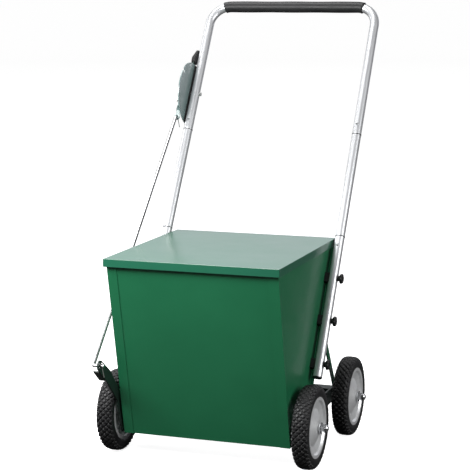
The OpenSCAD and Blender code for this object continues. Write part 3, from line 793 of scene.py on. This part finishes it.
def hand_knob(node):
    """Radius = r (1 + depth x share x (2 |cos 3a|^power - 1)); x runs along the bolt."""
    low, high = (np.array(c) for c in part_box(node))
    centre = (low + high) / 2
    outwards = np.sign(centre[0])
    foot = min(abs(low[0]), abs(high[0]))
    profile = knob_profile(high[0] - low[0])
    angle = np.linspace(0, 2 * np.pi, KNOB_STEPS, endpoint=False)
    lobe = np.abs(np.cos(3 * angle)) ** LOBE_POWER * 2 - 1
    radius = profile[:, :1] * (1 + profile[:, 2:] * LOBE_DEPTH * lobe[None])
    grid = np.stack([outwards * (foot + profile[:, 1:2]) + 0 * radius,
                     centre[1] + radius * np.cos(angle), centre[2] + radius * np.sin(angle)], axis=-1)
    return grid_piece(node + "_lobed", [(grid, False, True)], node, FINISHES["knob_plastic"])


for side in ("left", "right"):
    for number in (1, 2, 3):
        hand_knob(f"knob_{side}_{number}")

# %% [markdown]
# Folded sheet metal has no sharp edge: where it is bent the outside is round, and where it is cut
# the paint draws back into a small radius. A merged copy of each such node gets a narrow bevel, so
# edges catch the light as a thin line. The lever's moulded grip gets a broader one. The copy's
# stored normals are dropped, because they belong to the sharp shape.

# %% Soft edges on sheet metal
MERGE_WITHIN = 1e-6
FLAT_WITHIN = math.radians(0.5)
BEVEL_SEGMENTS = 2
BEVEL_FROM = math.radians(35.0)
EASED = {"lid": 0.0006, "hopper_front": 0.0005, "hopper_side_left": 0.0005,
         "hopper_side_right": 0.0005, "hopper_rear": 0.0005, "quadrant": 0.0005,
         "rear_beam": 0.0012, "side_bars": 0.0008, "braces": 0.0007, "gate_arm": 0.0007,
         "lever": 0.0006, "lever_grip": 0.0022}


def join_flats(mesh):
    """Merges the corners that meet and joins the triangles that lie in one plane."""
    bm = bmesh.new()
    bm.from_mesh(mesh)
    bmesh.ops.remove_doubles(bm, verts=bm.verts, dist=MERGE_WITHIN)
    bmesh.ops.dissolve_limit(bm, angle_limit=FLAT_WITHIN, verts=bm.verts, edges=bm.edges)
    bm.to_mesh(mesh)
    bm.free()


def eased(node, width):
    """Copy of a CAD node, with its flat faces joined, under a live Bevel modifier."""
    mesh = NODES[node].data.copy()
    mesh.name = node + "_eased"
    piece = bpy.data.objects.new(node + "_eased", mesh)
    scene.collection.objects.link(piece)
    if "custom_normal" in mesh.attributes:
        mesh.attributes.remove(mesh.attributes["custom_normal"])
    join_flats(mesh)
    mesh.polygons.foreach_set("use_smooth", np.zeros(len(mesh.polygons), dtype=bool))
    bevel = piece.modifiers.new("edge", "BEVEL")
    bevel.width = width
    bevel.segments = BEVEL_SEGMENTS
    bevel.limit_method = "ANGLE"
    bevel.angle_limit = BEVEL_FROM
    bevel.use_clamp_overlap = True
    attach(piece, BODY_OF[node])
    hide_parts(node)
    return piece


for name, width in EASED.items():
    eased(name, width)
print("eased", len(EASED), "nodes")

# %% [markdown]
# The studio has a round floor that turns up into a wall, far away on every side. It is pale and
# glows only for the camera. Every other ray finds it dark, so that it doesn't light the paint
# from below.

# %% Floor
FLOOR_GLOW = 0.90
FLOOR_DARK, FLOOR_PALE = (0.05, 0.05, 0.05), (0.86, 0.86, 0.86)
FLOOR_REACH, FLOOR_BEND, WALL_TOP = 22.0, 4, 9
FLOOR_SINK = 0.0004
FLOOR_ROUND, BEND_STEPS = 72, 16


def floor_finish():
    """Colour and glow both follow Is Camera Ray, which is 1 for the camera and 0 otherwise."""
    material, tree, shader, _ = new_finish("studio_floor", FLOOR_PALE, 0.8, specular=0.05)
    seen = tree.nodes.new("ShaderNodeLightPath").outputs["Is Camera Ray"]
    colour_between(tree, shader, seen, FLOOR_DARK, FLOOR_PALE)
    lit = arithmetic(tree, "MULTIPLY", seen, FLOOR_GLOW)
    tree.links.new(lit, shader.inputs["Emission Strength"])
    shader.inputs["Emission Color"].default_value = (1, 1, 1, 1)
    return material


def sweep_floor():
    """Profile (reach, height) with a quarter circle in it, turned about z."""
    turn = np.linspace(0, 2 * np.pi, FLOOR_ROUND, endpoint=False)[:, None]
    bend = np.linspace(0, np.pi / 2, BEND_STEPS)
    curve_out = FLOOR_REACH + FLOOR_BEND * np.sin(bend)
    curve_up = FLOOR_BEND - FLOOR_BEND * np.cos(bend)
    reach = np.concatenate([[1e-5, 4, 14], curve_out, [FLOOR_REACH + FLOOR_BEND]])
    height = np.concatenate([[0, 0, 0], curve_up, [WALL_TOP]]) - FLOOR_SINK
    grid = np.stack([reach * np.cos(turn), reach * np.sin(turn), height + 0 * turn], axis=-1)
    rows, columns = grid.shape[:2]
    faces = grid_faces(rows, columns, True, False)
    mesh = bpy.data.meshes.new("studio_floor")
    mesh.from_pydata(grid.reshape(-1, 3).tolist(), [], faces.tolist())
    mesh.polygons.foreach_set("use_smooth", np.ones(len(mesh.polygons), dtype=bool))
    mesh.materials.append(floor_finish())
    floor = bpy.data.objects.new("studio_floor", mesh)
    scene.collection.objects.link(floor)


sweep_floor()
print("the wall stands", FLOOR_REACH + FLOOR_BEND, "metres away on every side")

# %% [markdown]
# A dim even sky fills the shadows. The key lamp is close in front and higher than the lid. There is
# a lamp on each side, one overhead, and a wide one behind, which the lid reflects at a low angle.
# The lamps themselves are hidden from the camera.

# %% Lights
SKY = 0.16


def lamp(name, place, aim, size, power, colour=(1, 1, 1)):
    """A rectangular soft lamp at a place, looking at a point."""
    data = bpy.data.lights.new(name, "AREA")
    data.shape = "RECTANGLE"
    data.size, data.size_y = size
    data.energy = power
    data.color = colour
    light = bpy.data.objects.new(name, data)
    light.visible_camera = False
    light.location = place
    towards = np.array(aim, float) - np.array(place, float)
    light.rotation_euler = Vector(towards).to_track_quat("-Z", "Y").to_euler()
    scene.collection.objects.link(light)


world = bpy.data.worlds.new("studio")
scene.world = world
world.use_nodes = True
world.node_tree.nodes["Background"].inputs["Color"].default_value = (1, 1, 1, 1)
world.node_tree.nodes["Background"].inputs["Strength"].default_value = SKY
lamp("key", (-0.5, -1.15, 1.22), (0, -0.3, 0.42), (1.2, 0.6), 38)
lamp("right", (2.4, -0.6, 1.2), (0, 0, 0.4), (1.1, 1.6), 40)
lamp("back", (0, 5.0, 1.7), (0, 0, 0.6), (6.0, 2.6), 46, (0.92, 0.94, 1.0))
lamp("top", (-0.6, 0.3, 3.0), (0, 0.1, 0.6), (1.6, 1.6), 45)
lamp("left", (-2.8, 0.6, 1.6), (0, 0, 0.5), (1.2, 1.6), 26)
print("studio is lit")
